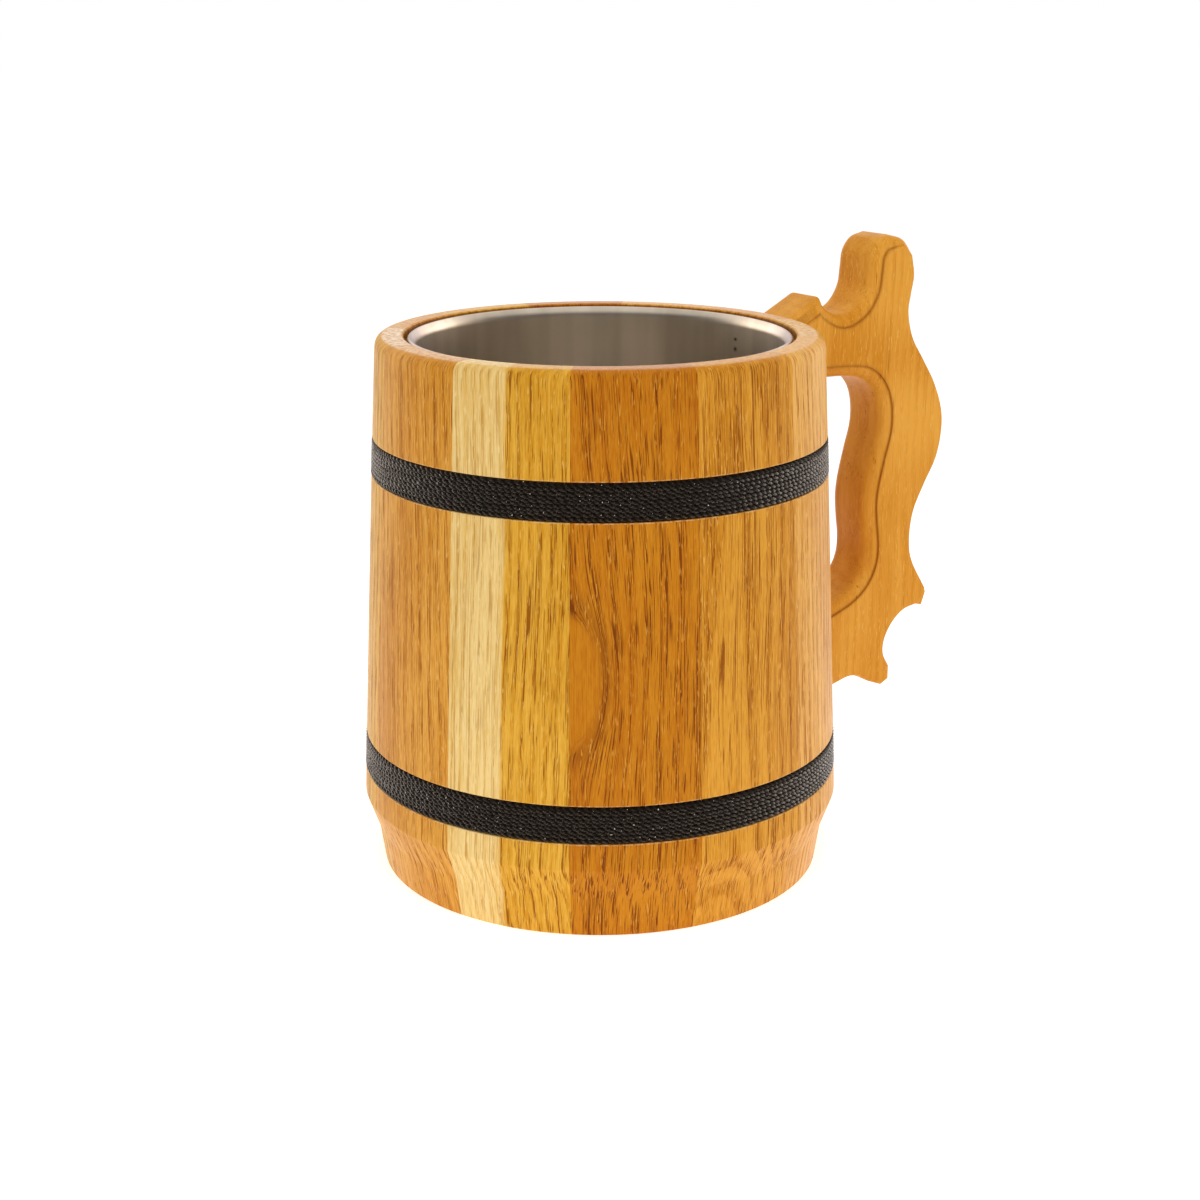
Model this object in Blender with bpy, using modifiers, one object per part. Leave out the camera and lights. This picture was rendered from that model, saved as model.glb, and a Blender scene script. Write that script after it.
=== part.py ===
"""Barrel tankard: twelve glued oak staves, two cord bands, a carved handle and a drawn steel liner.

Metres, +Z up. The origin is the middle of the underside, on the barrel's axis.
The handle points along +X.
"""

import math

import bmesh
import bpy
from mathutils import Vector, kdtree

# Barrel, turned after the staves are glued
STAVE_COUNT = 12
STAVE_STEPS = 4
STAVE_TURN = math.radians(4.2)
BARREL_HEIGHT = 0.127
RIM_RADIUS = 0.0517
BELLY_RADIUS = 0.05725
BARREL_SWELL = 0.00012
RIM_ROUND = 0.0022

# Foot of the barrel, cut in two slopes
FOOT_HEIGHT = 0.0175
FOOT_BREAK_HEIGHT = 0.0095
FOOT_BREAK_INSET = 0.0029
BASE_INSET = 0.0043

# Inside of the barrel
BORE_RADIUS = 0.0439
LIP_SEAT_DEPTH = 0.0024
BASE_THICKNESS = 0.008
BASE_SEAT_WIDTH = 0.0026

# Cord bands, each one cord wound in a shallow groove
CORD_DIAMETER = 0.0005
CORD_SPACE = 0.00045
CORD_TURNS = 8
CORD_LOOP_POINTS = 24
LOWER_BAND_BOTTOM = 0.0239
UPPER_BAND_DROP = 0.0317

# Liner
LINER_WALL = 0.0006
LINER_CORNER = 0.006
LIP_WIDTH = 0.0018
LIP_HEIGHT = 0.0017

# Handle, sawn from a plank to a pattern and routed along its upper and inner edges
HANDLE_THICKNESS = 0.0155
HANDLE_REACH = 0.0502
HANDLE_FOOT_GAP = 0.0025
PATTERN_REACH = 49.6
PATTERN_SPAN = 92.5
ROUTED_RADIUS = 0.003
ROUTED_STEP = 0.0005
PLAIN_RADIUS = 0.0006
PLAIN_STEP = 0.0001

# Wood screws that hold the handle from inside the barrel
SCREW_LENGTH = 0.026
SCREW_SHANK_RADIUS = 0.00175
SCREW_HEAD_RADIUS = 0.0035
SCREW_HEAD_HEIGHT = 0.0025
SCREW_TIP = 0.004
UPPER_SCREW_DROP = 0.0085
LOWER_SCREW_RISE = 0.007

# Clearance between touching pieces, and how finely round forms are stepped
FIT_GAP = 0.0003
TURN_STEPS = STAVE_COUNT * STAVE_STEPS
CUTTER_STEPS = 2 * TURN_STEPS
SCREW_STEPS = 16
SHARP_ANGLE = math.radians(32)
LEAST_CORNER = 0.6
SHARP_OFFSET = 1.03
CORNER_REACH = 6
TREE_STEP = 0.00025

WOOD_TONES = {
    "oak_pale": (0.76, 0.49, 0.17),
    "oak_gold": (0.62, 0.31, 0.07),
    "oak_tan": (0.58, 0.27, 0.07),
    "oak_brown": (0.50, 0.21, 0.04),
}
STAVE_TONES = ("oak_tan", "oak_pale", "oak_brown", "oak_gold", "oak_tan", "oak_gold")


def barrel_radius(height):
    """Outer radius of the turned wood, which tapers to the rim with a slight swell."""
    share = (height - FOOT_HEIGHT) / (BARREL_HEIGHT - FOOT_HEIGHT)
    taper = BELLY_RADIUS + (RIM_RADIUS - BELLY_RADIUS) * share
    return taper + BARREL_SWELL * (1 - (2 * share - 1) ** 2)


def chord_sag(radius):
    """How far the middle of one straight piece of a wound loop lies inside its circle."""
    return radius * (1 - math.cos(math.pi / CORD_LOOP_POINTS))


CORD_PITCH = CORD_DIAMETER + CORD_SPACE
BAND_WIDTH = CORD_TURNS * CORD_PITCH + CORD_DIAMETER
GROOVE_DEPTH = CORD_DIAMETER + FIT_GAP + chord_sag(BELLY_RADIUS)
UPPER_BAND_BOTTOM = BARREL_HEIGHT - UPPER_BAND_DROP
HANDLE_SPAN = BARREL_HEIGHT - LOWER_BAND_BOTTOM - BAND_WIDTH - HANDLE_FOOT_GAP


def arc(centre, radius, start, end, steps):
    """Points on an arc in the profile plane, angles in degrees."""
    angles = [math.radians(start + (end - start) * i / steps) for i in range(steps + 1)]
    return [(centre[0] + radius * math.cos(a), centre[1] + radius * math.sin(a)) for a in angles]


def clear_scene():
    for old in list(bpy.data.objects):
        bpy.data.objects.remove(old, do_unlink=True)


def new_collection(name):
    made = bpy.data.collections.new(name)
    bpy.context.scene.collection.children.link(made)
    return made


def make_material(name, colour, roughness, metallic=0.0):
    made = bpy.data.materials.new(name)
    made.use_nodes = True
    shader = made.node_tree.nodes["Principled BSDF"]
    shader.inputs["Base Color"].default_value = (*colour, 1.0)
    shader.inputs["Roughness"].default_value = roughness
    shader.inputs["Metallic"].default_value = metallic
    return made


def add_object(name, data, collection, material=None):
    made = bpy.data.objects.new(name, data)
    collection.objects.link(made)
    if material:
        data.materials.append(material)
    return made


def mesh_from(bm, name):
    bmesh.ops.recalc_face_normals(bm, faces=bm.faces)
    mesh = bpy.data.meshes.new(name)
    bm.to_mesh(mesh)
    bm.free()
    mesh.shade_smooth()
    mesh.set_sharp_from_angle(angle=SHARP_ANGLE)
    return mesh


def turned_object(name, profile, steps, collection, material=None):
    """A full turn of an open profile whose two ends lie on the axis."""
    mesh = bpy.data.meshes.new(name)
    mesh.from_pydata([(r, 0, z) for r, z in profile], [(i, i + 1) for i in range(len(profile) - 1)], [])
    made = add_object(name, mesh, collection, material)
    screw = made.modifiers.new("Turn", "SCREW")
    screw.steps = steps
    screw.render_steps = steps
    screw.use_merge_vertices = True
    screw.merge_threshold = 0.00001
    screw.use_smooth_shade = True
    return made


def wedge_mesh(name, profile, middle, sweep, steps):
    """A closed profile swept round the axis through part of a turn."""
    bm = bmesh.new()
    start = middle - sweep / 2
    corners = [bm.verts.new((r * math.cos(start), r * math.sin(start), z)) for r, z in profile]
    face = bm.faces.new(corners)
    geometry = list(bm.verts) + list(bm.edges) + [face]
    bmesh.ops.spin(bm, geom=geometry, cent=(0, 0, 0), axis=(0, 0, 1), angle=sweep, steps=steps)
    return mesh_from(bm, name)


def make_cutter(made):
    made.hide_render = True
    made.display_type = "WIRE"


def cut(piece, cutter):
    boolean = piece.modifiers.new("Cut " + cutter.name, "BOOLEAN")
    boolean.operation = "DIFFERENCE"
    boolean.solver = "EXACT"
    boolean.object = cutter


def groove(bottom):
    """Outer profile points of one band's groove, from its lower edge to its upper edge."""
    low = bottom - FIT_GAP
    high = bottom + BAND_WIDTH + FIT_GAP
    return [
        (barrel_radius(low), low),
        (barrel_radius(low) - GROOVE_DEPTH, low),
        (barrel_radius(high) - GROOVE_DEPTH, high),
        (barrel_radius(high), high),
    ]


def stave_profile():
    """Section of a stave: foot, grooves, rounded rim, lip seat, bore and base seat."""
    foot = [
        (BELLY_RADIUS - BASE_INSET, 0),
        (BELLY_RADIUS - FOOT_BREAK_INSET, FOOT_BREAK_HEIGHT),
        (BELLY_RADIUS, FOOT_HEIGHT),
    ]
    middle = (LOWER_BAND_BOTTOM + UPPER_BAND_BOTTOM + BAND_WIDTH) / 2
    side = groove(LOWER_BAND_BOTTOM) + [(barrel_radius(middle), middle)] + groove(UPPER_BAND_BOTTOM)
    seat_radius = BORE_RADIUS - LINER_WALL + LIP_WIDTH
    rim_round = min(RIM_ROUND, (RIM_RADIUS - seat_radius) / 2)
    round_centre = (RIM_RADIUS - rim_round, BARREL_HEIGHT - rim_round)
    rim = arc(round_centre, rim_round, 0, 90, 3)
    inside = [
        (seat_radius, BARREL_HEIGHT),
        (seat_radius, BARREL_HEIGHT - LIP_SEAT_DEPTH),
        (BORE_RADIUS, BARREL_HEIGHT - LIP_SEAT_DEPTH),
        (BORE_RADIUS, BASE_THICKNESS + FIT_GAP),
        (BORE_RADIUS + BASE_SEAT_WIDTH, BASE_THICKNESS + FIT_GAP),
        (BORE_RADIUS + BASE_SEAT_WIDTH, 0),
    ]
    return foot + side + rim + inside


def make_staves(parts, materials):
    profile = stave_profile()
    sweep = math.tau / STAVE_COUNT - FIT_GAP / BORE_RADIUS
    staves = []
    for i in range(STAVE_COUNT):
        name = f"stave_{i + 1:02d}"
        middle = STAVE_TURN + math.tau * i / STAVE_COUNT
        mesh = wedge_mesh(name, profile, middle, sweep, STAVE_STEPS)
        staves.append(add_object(name, mesh, parts, materials[STAVE_TONES[i % len(STAVE_TONES)]]))
    return staves


def make_base(parts, material):
    """Disc that closes the bottom, set in the seat below the bore and flush with the staves."""
    bm = bmesh.new()
    radius = BORE_RADIUS + BASE_SEAT_WIDTH - FIT_GAP
    bmesh.ops.create_cone(
        bm, cap_ends=True, segments=TURN_STEPS, radius1=radius, radius2=radius, depth=BASE_THICKNESS
    )
    base = add_object("base_disc", mesh_from(bm, "base_disc"), parts, material)
    base.location.z = BASE_THICKNESS / 2
    return base


def make_liner(parts, material):
    """Drawn cup that stands on the base disc, with a rolled lip in its seat on the rim."""
    outer = BORE_RADIUS - FIT_GAP
    inner = outer - LINER_WALL
    bottom = BASE_THICKNESS + FIT_GAP
    lip_bottom = BARREL_HEIGHT - LIP_SEAT_DEPTH + FIT_GAP
    corner = (outer - LINER_CORNER, bottom + LINER_CORNER)
    bead_middle = inner + LIP_WIDTH / 2
    bead_height = lip_bottom + LIP_HEIGHT / 2
    bead = [
        (bead_middle + LIP_WIDTH / 2 * math.cos(a), bead_height + LIP_HEIGHT / 2 * math.sin(a))
        for a in (math.radians(180 - 45 * i) for i in range(7))
    ]
    inside = [(0, bottom + LINER_WALL)] + arc(corner, LINER_CORNER - LINER_WALL, -90, 0, 4)
    outside = [(outer, lip_bottom)] + arc(corner, LINER_CORNER, 0, -90, 4) + [(0, bottom)]
    return turned_object("liner", inside + bead + outside, TURN_STEPS, parts, material)


def winding_path(bottom):
    """Centre line of a wound cord: a helix on the barrel's taper, with short straight ends."""
    count = CORD_TURNS * CORD_LOOP_POINTS
    path = []
    for i in range(count + 1):
        height = bottom + CORD_DIAMETER / 2 + CORD_PITCH * i / CORD_LOOP_POINTS
        radius = barrel_radius(height) - CORD_DIAMETER / 2
        angle = math.tau * i / CORD_LOOP_POINTS
        path.append(Vector((radius * math.cos(angle), radius * math.sin(angle), height)))
    first = path[0] + (path[0] - path[1]).normalized() * CORD_DIAMETER
    last = path[-1] + (path[-1] - path[-2]).normalized() * CORD_DIAMETER
    return [first] + path + [last]


def least_gap(path):
    """Smallest clear distance between points of the cord that lie half a loop or more apart."""
    apart = CORD_LOOP_POINTS // 2
    pairs = ((a, b) for i, a in enumerate(path) for b in path[i + apart :])
    return min((a - b).length for a, b in pairs) - CORD_DIAMETER


def make_winding(name, bottom, parts, material):
    path = winding_path(bottom)
    curve = bpy.data.curves.new(name, "CURVE")
    curve.dimensions = "3D"
    curve.twist_mode = "Z_UP"
    curve.bevel_depth = CORD_DIAMETER / 2
    curve.bevel_resolution = 1
    curve.use_fill_caps = True
    spline = curve.splines.new("POLY")
    spline.points.add(len(path) - 1)
    for point, place in zip(spline.points, path):
        point.co = (*place, 1)
    print(f"{name}: least gap to itself {least_gap(path) * 1000:.2f} mm")
    return add_object(name, curve, parts, material)


def smooth_run(points, steps=3):
    """Points along a smooth curve through the given ones, the last one left out."""
    run = [Vector(p) for p in points]
    ends = [2 * run[0] - run[1]] + run + [2 * run[-1] - run[-2]]
    made = []
    for before, start, end, after in zip(ends, ends[1:], ends[2:], ends[3:]):
        for i in range(steps):
            t = i / steps
            slope = (end - before) * t
            bend = (2 * before - 5 * start + 4 * end - after) * t**2
            twist = (3 * start - before - 3 * end + after) * t**3
            made.append(start + (slope + bend + twist) / 2)
    return made


def handle_outline():
    """Outline of the handle and how far each point's edge is routed.

    The pattern's points are millimetres from the rim's side and top, for a handle of the pattern's own
    reach and span.
    """
    hidden = -4.7
    slope = [(hidden, -3.2), (9.0, 3.8)]
    thumb = [
        (9.0, 3.8), (11.0, 0.9), (15.9, -1.2), (20.7, 0.6), (23.6, 4.6), (24.3, 9.0), (24.9, 13.2),
        (27.3, 16.4), (30.9, 17.5),
    ]
    back = [
        (30.9, 17.5), (34.5, 16.2), (37.0, 12.2), (37.9, 7.2), (37.1, 2.4), (36.6, -2.2), (38.3, -8.4),
        (42.1, -14.2), (46.3, -20.7), (49.1, -27.6), (49.6, -33.6), (48.1, -40.7), (44.3, -47.5),
        (41.1, -54.2), (40.2, -61.4), (41.4, -67.4), (46.3, -75.5),
    ]
    upper_cusp = [(46.3, -75.5), (46.6, -76.8), (45.4, -80.2)]
    cove = [(43.3, -79.7), (39.1, -80.6), (35.5, -83.4), (33.1, -87.4), (32.8, -91.4), (34.8, -95.1)]
    lower_cusp = [(34.8, -95.1), (34.8, -98.8), (32.3, -100.0)]
    arch = [(32.3, -100.0), (27.9, -98.2), (24.3, -96.2), (21.1, -95.7), (16.7, -96.7)]
    foot = [(15.1, -97.1), (4.7, -93.8), (hidden, -92.5)]
    opening = [
        (hidden, -79.5), (6.7, -77.7), (14.6, -75.1), (20.0, -73.0), (23.7, -70.2), (25.9, -66.4),
        (26.5, -61.8), (25.7, -55.5), (25.3, -50.0), (25.9, -44.8), (27.6, -37.8), (29.3, -31.4),
        (29.2, -25.8), (27.5, -21.2), (23.9, -17.9), (18.7, -16.8), (8.7, -16.3), (hidden, -16.0),
    ]
    routed = slope[:1] + smooth_run(thumb)
    fading = smooth_run(back[:3])
    plain = smooth_run(back[2:]) + upper_cusp + smooth_run(cove) + lower_cusp[:2] + smooth_run(arch) + foot
    inner = smooth_run(opening) + opening[-1:]
    shares = [1.0] * len(routed)
    shares += [1 - i / len(fading) for i in range(len(fading))]
    shares += [0.0] * len(plain)
    shares += [1.0] * len(inner)
    across = HANDLE_REACH / PATTERN_REACH
    along = HANDLE_SPAN / PATTERN_SPAN
    places = [
        Vector((RIM_RADIUS + x * across, BARREL_HEIGHT + z * along))
        for x, z in routed + fading + plain + inner
    ]
    return places, shares


def inward_offsets(outline):
    """Unit offsets into the wood at each outline point, lengthened at corners."""
    offsets = []
    for before, here, after in zip(outline[-1:] + outline[:-1], outline, outline[1:] + outline[:1]):
        first = (here - before).normalized()
        second = (after - here).normalized()
        normal = Vector((first.y + second.y, -first.x - second.x)).normalized()
        offsets.append(normal / max(LEAST_CORNER, normal.dot(Vector((first.y, -first.x)))))
    return offsets


def edge_section(share):
    """Steps from the handle's face to its side as (depth below the face, inset): a shoulder and a round."""
    radius = PLAIN_RADIUS + (ROUTED_RADIUS - PLAIN_RADIUS) * share
    step = PLAIN_STEP + (ROUTED_STEP - PLAIN_STEP) * share
    turns = [math.radians(a) for a in (0, 30, 60, 90)]
    return [(0, radius)] + [
        (step + radius * (1 - math.cos(a)), radius * (1 - math.sin(a))) for a in turns
    ]


def outline_tree(outline):
    """Search tree of points set close along the outline."""
    spots = []
    for start, end in zip(outline, outline[1:] + outline[:1]):
        count = max(1, round((end - start).length / TREE_STEP))
        spots += [start.lerp(end, i / count).to_3d() for i in range(count)]
    tree = kdtree.KDTree(len(spots))
    for i, spot in enumerate(spots):
        tree.insert(spot, i)
    tree.balance()
    return tree


def inset_line(outline, offsets, insets, tree):
    """The outline moved into the wood, with points that would pass a corner's line drawn onto that corner."""
    moved = [place + offset * inset for place, offset, inset in zip(outline, offsets, insets)]
    corners = [i for i, offset in enumerate(offsets) if offset.length > SHARP_OFFSET]
    made = []
    for i, (spot, inset) in enumerate(zip(moved, insets)):
        corner = min(corners, key=lambda c: abs(c - i))
        passed = tree.find(spot.to_3d())[2] < 0.97 * inset
        made.append(moved[corner] if passed and abs(corner - i) < CORNER_REACH else spot)
    return made


def handle_mesh():
    """Loft of the outline through the routed sections of both faces."""
    outline, shares = handle_outline()
    offsets = inward_offsets(outline)
    sections = [edge_section(share) for share in shares]
    tree = outline_tree(outline)
    half = HANDLE_THICKNESS / 2
    levels = len(sections[0])
    bm = bmesh.new()
    rings = []
    for side in (-1, 1):
        for level in range(levels) if side < 0 else reversed(range(levels)):
            line = inset_line(outline, offsets, [section[level][1] for section in sections], tree)
            ring = []
            for spot, section in zip(line, sections):
                ring.append(bm.verts.new((spot.x, side * (half - section[level][0]), spot.y)))
            rings.append(ring)
    count = len(outline)
    for lower, upper in zip(rings, rings[1:]):
        for i in range(count):
            j = (i + 1) % count
            bm.faces.new((lower[i], lower[j], upper[j], upper[i]))
    bm.faces.new(rings[0])
    bm.faces.new(rings[-1])
    bmesh.ops.remove_doubles(bm, verts=bm.verts, dist=0.000001)
    return mesh_from(bm, "handle")


def screw_profile(grow=0.0, head_room=0.0):
    """Countersunk screw down its axis from the head at zero, grown all round for its hole."""
    neck = SCREW_HEAD_HEIGHT + grow
    return [
        (0, head_room),
        (SCREW_HEAD_RADIUS + grow, head_room),
        (SCREW_HEAD_RADIUS + grow, -grow),
        (SCREW_SHANK_RADIUS + grow, -neck),
        (SCREW_SHANK_RADIUS + grow, -(SCREW_LENGTH - SCREW_TIP + grow)),
        (0, -(SCREW_LENGTH + grow)),
    ]


def lay_screw(made, height):
    """Turns a screw's axis along the handle, its head just inside the bore's wall."""
    made.rotation_euler = (0, -math.pi / 2, 0)
    made.location = (BORE_RADIUS + FIT_GAP, 0, height)


def make_handle(parts, cutters, stave, wood, steel):
    handle = add_object("handle", handle_mesh(), parts, wood)
    top = 2 * BARREL_HEIGHT
    heights = [BARREL_HEIGHT * i / 8 for i in range(9)]
    side = [(barrel_radius(h) + FIT_GAP, h) for h in reversed(heights)]
    rim_side = RIM_RADIUS + FIT_GAP
    trim = turned_object("barrel_trim", [(0, top), (rim_side, top)] + side + [(0, 0)], CUTTER_STEPS, cutters)
    make_cutter(trim)
    cut(handle, trim)
    upper_height = BARREL_HEIGHT - UPPER_SCREW_DROP
    lower_height = BARREL_HEIGHT - HANDLE_SPAN + LOWER_SCREW_RISE
    for name, height in (("upper", upper_height), ("lower", lower_height)):
        screw = turned_object(f"{name}_handle_screw", screw_profile(), SCREW_STEPS, parts, steel)
        lay_screw(screw, height)
        hole_profile = screw_profile(FIT_GAP, SCREW_LENGTH / 2)
        hole = turned_object(f"{name}_screw_hole", hole_profile, SCREW_STEPS, cutters)
        lay_screw(hole, height)
        make_cutter(hole)
        cut(handle, hole)
        cut(stave, hole)


def main():
    clear_scene()
    parts = new_collection("barrel_tankard")
    cutters = new_collection("cutters")
    woods = {name: make_material(name, colour, 0.55) for name, colour in WOOD_TONES.items()}
    steel = make_material("brushed_steel", (0.42, 0.40, 0.37), 0.35, 1.0)
    cord = make_material("black_cord", (0.018, 0.014, 0.011), 0.7)
    zinc = make_material("zinc_screw", (0.62, 0.60, 0.55), 0.4, 1.0)
    staves = make_staves(parts, woods)
    make_base(parts, woods["oak_tan"])
    make_liner(parts, steel)
    make_winding("upper_cord_winding", UPPER_BAND_BOTTOM, parts, cord)
    make_winding("lower_cord_winding", LOWER_BAND_BOTTOM, parts, cord)
    make_handle(parts, cutters, staves[0], woods["oak_gold"], zinc)


main()
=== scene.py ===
"""Looks of the barrel tankard: fine oak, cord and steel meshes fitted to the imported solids.

Metres, +Z up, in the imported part's own frame. The handle points along +X. The materials' patterns and the
handle's outline are in millimetres.
"""

import math
from dataclasses import dataclass

import bmesh
import bpy
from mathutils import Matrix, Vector, kdtree


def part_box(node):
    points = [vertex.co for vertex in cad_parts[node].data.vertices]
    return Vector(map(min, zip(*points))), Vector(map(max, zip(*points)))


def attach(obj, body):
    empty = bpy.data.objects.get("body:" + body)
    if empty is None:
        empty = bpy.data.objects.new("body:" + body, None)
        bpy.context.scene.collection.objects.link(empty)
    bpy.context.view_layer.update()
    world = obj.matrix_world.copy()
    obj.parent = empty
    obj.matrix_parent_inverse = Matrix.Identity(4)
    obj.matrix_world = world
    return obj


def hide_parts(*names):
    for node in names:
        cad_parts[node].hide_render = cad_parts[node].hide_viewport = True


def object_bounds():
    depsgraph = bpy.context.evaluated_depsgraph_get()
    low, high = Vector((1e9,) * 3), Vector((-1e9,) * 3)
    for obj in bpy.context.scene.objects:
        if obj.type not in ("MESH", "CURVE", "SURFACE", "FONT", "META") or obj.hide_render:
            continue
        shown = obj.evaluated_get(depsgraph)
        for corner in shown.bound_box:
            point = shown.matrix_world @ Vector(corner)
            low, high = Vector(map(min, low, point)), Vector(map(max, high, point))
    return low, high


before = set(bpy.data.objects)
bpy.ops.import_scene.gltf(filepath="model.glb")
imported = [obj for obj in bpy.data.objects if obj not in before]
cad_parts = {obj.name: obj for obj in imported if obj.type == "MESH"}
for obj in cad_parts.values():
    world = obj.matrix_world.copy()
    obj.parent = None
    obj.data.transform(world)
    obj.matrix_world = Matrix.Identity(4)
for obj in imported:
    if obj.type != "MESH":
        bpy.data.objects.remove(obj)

CAD_LOW, CAD_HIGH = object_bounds()
MILLIMETRES = 1000.0

# Barrel, with sizes read from the solids where a box gives them
HANDLE_REACH = 0.05027
STAVE_COUNT = 12
STAVE_TURN = math.radians(4.2)
STAVE_STEPS = 16
BARREL_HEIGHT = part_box("stave_02")[1].z
BELLY_RADIUS = CAD_HIGH.y
RIM_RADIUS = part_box("handle")[1].x - HANDLE_REACH
BARREL_SWELL = 0.00012
RIM_ROUND = 0.0028
FOOT_HEIGHT = 0.0175
FOOT_ROUND = 0.0015
FOOT_BREAK_HEIGHT = 0.0095
FOOT_BREAK_INSET = 0.0029
FOOT_BREAK_ROUND = 0.004
FOOT_INSET = 0.0043
FOOT_EDGE_ROUND = 0.0006
SWELL_ROUND = 0.1
JOINT_GAP = 0.00003
TAPER = math.atan2(BELLY_RADIUS - RIM_RADIUS, BARREL_HEIGHT - FOOT_HEIGHT)

# Inside of the barrel
LINER_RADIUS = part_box("liner")[1].x
BASE_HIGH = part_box("base_disc")[1]
BASE_EDGE_ROUND = 0.0006
BASE_TOP_ROUND = 0.0003
BASE_SEAT_ROUND = 0.0004
BORE_RADIUS = 0.0439
LIP_SEAT_DEPTH = 0.0024
SEAT_ROUND = 0.0008
SEAT_GAP = 0.0003
TOUCH_GAP = 0.00005
NEARLY_SHARP = 0.0001

# Steel liner, with its seam's dark marks as (height, half height) in millimetres
LINER_WALL = 0.0006
LINER_CORNER = 0.006
LIP_WIDTH = 0.0018
LIP_INSET = 0.0005
LIP_FLARE = 0.0013
LIP_FLARE_HEIGHT = 0.0017
LIP_BEND = 0.0036
LIP_DROP = 0.0005
LIP_ROLL = 0.0004
SEAM_TURN = math.radians(5)
SEAM_WIDTH = 0.012
SEAM_MARKS = ((120.9, 0.35), (118.5, 0.5))

# Cord bands
GROOVE_DEPTH = 0.0013
GROOVE_GAP = 0.0003
GROOVE_EDGE_ROUND = 0.0003
GROOVE_FLOOR_ROUND = 0.0002
CORD_ROWS = 9
CORD_FULLNESS = 1.35
CORD_PROUD = 0.00015
CORD_LAY = 0.0034
CORD_STEP = 0.00025
CORD_SIDES = (-98, -66, -40, -13, 13, 40, 66, 98, 180)
PLY_OFFSET = 0.36
PLY_RADIUS = 0.64
CLIMB_SHARE = 0.06
TUCK_SHARE = 0.015
CORD_WANDER = 1.4
WANDER_WAVES = 13
WANDER_SHIFT = 5
CORD_UNEVEN = 0.00005
UNEVEN_WAVES = 9
UNEVEN_SHIFT = 4
OUTER_CROWN = 0.3

# Handle, with the hidden reach of its feet in millimetres like its outline
HANDLE_THICKNESS = 0.0155
HANDLE_STRETCH = 1.0120
HIDDEN_REACH = -4.7
ROUTED_RADIUS = 0.003
ROUTED_STEP = 0.0005
PLAIN_RADIUS = 0.0007
PLAIN_STEP = 0.0001
EDGE_STEPS = 7
SHOULDER_REACH = 1.02
# Dark brown line along the routed step of the handle's edge
SHOULDER_LINE = 0.7
STEP_LINE_WIDTH = 0.0007
STEP_LINE_SHARE = 0.6
LEAST_CORNER = 0.6
SHARP_OFFSET = 1.03
CORNER_REACH = 16
PASSED_SHARE = 0.97
RUN_STEPS = 8
TREE_STEP = 0.00025
CUTTER_STEPS = 16
CUTTER_INSIDE = 0.01
CUTTER_TOP = BARREL_HEIGHT * 1.5

# Meshes
TURN_STEPS = 192
ROUND_STEPS = 6
MOST_ROUNDED = 0.45
SHARP_ANGLE = math.radians(32)
WELD_DISTANCE = 1e-6

# Camera, fitted to the photograph's outline of the barrel
CAMERA_TURN = math.radians(34)
CAMERA_DISTANCE = 0.4622
CAMERA_HEIGHT = 0.2001
CAMERA_PITCH = math.radians(16.58)
CAMERA_LENS = 60.4
TOWARD_CAMERA = (-math.sin(CAMERA_TURN), -math.cos(CAMERA_TURN), 0.0)


def srgb(red, green, blue):
    """Linear colour from display values of 0 to 255."""
    shares = [value / 255 for value in (red, green, blue)]
    return tuple(s / 12.92 if s <= 0.04045 else ((s + 0.055) / 1.055) ** 2.4 for s in shares) + (1.0,)


# Noise patterns: changes per millimetre along three axes, detail and roughness.
# For oak the axes run across the rings, around the barrel and along the fibres.
PATTERNS = {
    "oak_wobble": ((0.045, 0.045, 0.014), 1.0, 0.5),
    "oak_speckle": ((0.6, 3.4, 0.4), 1.0, 0.5),
    "oak_cloud": ((0.05, 0.1, 0.02), 2.0, 0.5),
    "oak_fibre": ((0.4, 3.2, 0.08), 2.0, 0.6),
    "oak_streak": ((0.15, 0.8, 0.02), 1.0, 0.5),
    "oak_vessel": ((0.15, 1.7, 0.012), 0.0, 0.5),
    "oak_vessel_group": ((0.1, 0.5, 0.05), 1.0, 0.5),
    "oak_dash": ((0.6, 4.2, 0.12), 1.0, 0.5),
    "oak_crumb": ((0.7, 3.6, 0.4), 1.0, 0.5),
    "oak_sap_edge": ((0.5, 0.5, 0.02), 2.0, 0.5),
    "oak_rays": ((0.8, 1.0, 0.4), 3.0, 0.75),
    "oak_chips": ((1.2, 1.2, 1.2), 2.0, 0.5),
    "cord_fibre": ((5.0, 5.0, 5.0), 3.0, 0.6),
    "cord_dust": ((2.4, 2.4, 2.4), 0.0, 0.5),
    "cord_uneven": ((1.1, 1.1, 1.1), 1.0, 0.5),
    "steel_turning": ((0.03, 0.03, 4.0), 3.0, 0.7),
    "steel_cloud": ((0.16, 0.16, 0.012), 2.0, 0.5),
    "screw_cloud": ((0.6, 0.6, 0.6), 3.0, 0.5),
    "screw_scratch": ((0.4, 6.0, 6.0), 2.0, 0.5),
}
NOISE_MEAN = 0.5

# Display colours of each oak: pore lines, dark and light fibre, bright flecks
OAKS = {
    "oak_tan": ((150, 78, 8), (200, 128, 28), (228, 166, 70), (244, 194, 110)),
    "oak_pale": ((176, 118, 40), (226, 180, 94), (242, 210, 140), (250, 226, 166)),
    "oak_brown": ((118, 52, 0), (182, 102, 4), (204, 130, 22), (234, 172, 72)),
    "oak_gold": ((142, 76, 0), (206, 142, 28), (232, 176, 64), (246, 202, 106)),
    "oak_copper": ((142, 72, 0), (198, 126, 22), (224, 158, 54), (242, 188, 96)),
    "oak_honey": ((166, 96, 24), (212, 144, 50), (236, 178, 90), (248, 204, 128)),
    "oak_amber": ((166, 88, 8), (208, 132, 26), (232, 164, 62), (246, 190, 96)),
}
# Pale colour of worn, chipped groove edges, which also paints a highlight along them
WORN_EDGE_HIGHLIGHT = srgb(246, 204, 148)
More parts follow.
